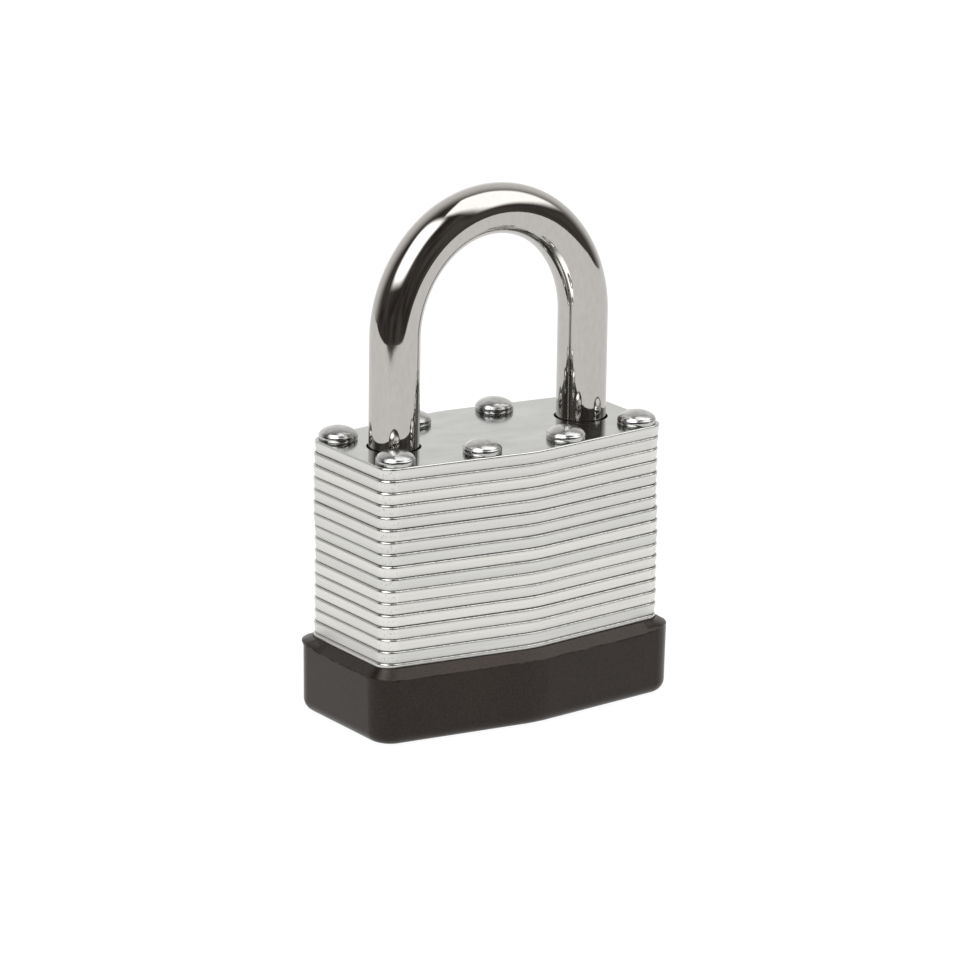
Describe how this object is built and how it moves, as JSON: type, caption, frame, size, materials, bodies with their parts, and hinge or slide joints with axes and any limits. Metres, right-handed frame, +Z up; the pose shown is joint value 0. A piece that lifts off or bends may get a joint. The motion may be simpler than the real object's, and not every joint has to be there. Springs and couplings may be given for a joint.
{
  "type": "padlock",
  "caption": "Laminated steel padlock with a lifting chrome shackle, a turning key plug, sliding locking bolts and a black plastic bumper round its base.",
  "frame": {"origin": "centre of the box round the padlock, at the bumper's underside, with the shackle down", "axes": "+Z up out of the body along the shackle's legs, +X along the body's width towards the leg that comes free, front face towards -Y"},
  "size_m": [0.0432, 0.024, 0.0643],
  "materials": {
    "bumper_plastic": "black moulded plastic with a fine matte texture",
    "plate_steel": "zinc-plated rolled sheet, satin, with faint streaks along the width",
    "top_plate_steel": "smoother plated sheet, semi-gloss",
    "rivet_steel": "polished steel heads",
    "shackle_chrome": "polished chrome plate over steel",
    "clip_steel": "dark spring-steel clip",
    "spring_steel": "bright spring wire",
    "bolt_steel": "plain ground steel",
    "cam_brass": "cast, satin",
    "plug_brass": "turned brass, faint turning rings",
    "cylinder_brass": "machined brass",
    "pin_brass": "turned brass"
  },
  "bodies": {
    "body": {"bumper": "bumper_plastic", "plate_01": "plate_steel", "plate_02": "plate_steel", "plate_03": "plate_steel", "plate_04": "plate_steel", "plate_05": "plate_steel", "plate_06": "plate_steel", "plate_07": "plate_steel", "plate_08": "plate_steel", "plate_09": "plate_steel", "plate_10": "plate_steel", "plate_11": "plate_steel", "plate_12": "plate_steel", "plate_13": "plate_steel", "plate_14": "plate_steel", "plate_15": "plate_steel", "plate_16": "plate_steel", "plate_17": "plate_steel", "plate_18": "plate_steel", "plate_19": "plate_steel", "plate_20": "plate_steel", "plate_21": "top_plate_steel", "rivets": "rivet_steel", "cylinder_body": "cylinder_brass", "cylinder_strip": "cylinder_brass", "driver_pins": "pin_brass", "pin_springs": "spring_steel"},
    "shackle": {"shackle": "shackle_chrome", "heel_clip": "clip_steel", "shackle_spring": "spring_steel"},
    "plug": {"plug": "plug_brass", "plug_ring": "clip_steel", "cam": "cam_brass", "key_pins": "pin_brass"},
    "bolt_left": {"bolt_left": "bolt_steel"},
    "bolt_right": {"bolt_right": "bolt_steel"}
  },
  "joints": [
    {"name": "shackle_lift", "type": "slide", "parent": "body", "child": "shackle", "axis": [0, 0, 1], "range_m": [0, 0.0112], "deforming": ["shackle_spring"]},
    {"name": "plug_turn", "type": "hinge", "parent": "body", "child": "plug", "pos_m": [0, 0, 0.01], "axis": [0, 0, -1], "range_deg": [0, 90]},
    {"name": "bolt_right_slide", "type": "slide", "parent": "body", "child": "bolt_right", "axis": [1, 0, 0], "range_m": [0, 0.0018]},
    {"name": "bolt_left_slide", "type": "slide", "parent": "body", "child": "bolt_left", "axis": [-1, 0, 0], "range_m": [0, 0.0018]}
  ],
  "couplings": [
    {"joint": "bolt_right_slide", "follows": "plug_turn", "m_per_rad": 0.0011459},
    {"joint": "bolt_left_slide", "follows": "plug_turn", "m_per_rad": 0.0011459}
  ]
}
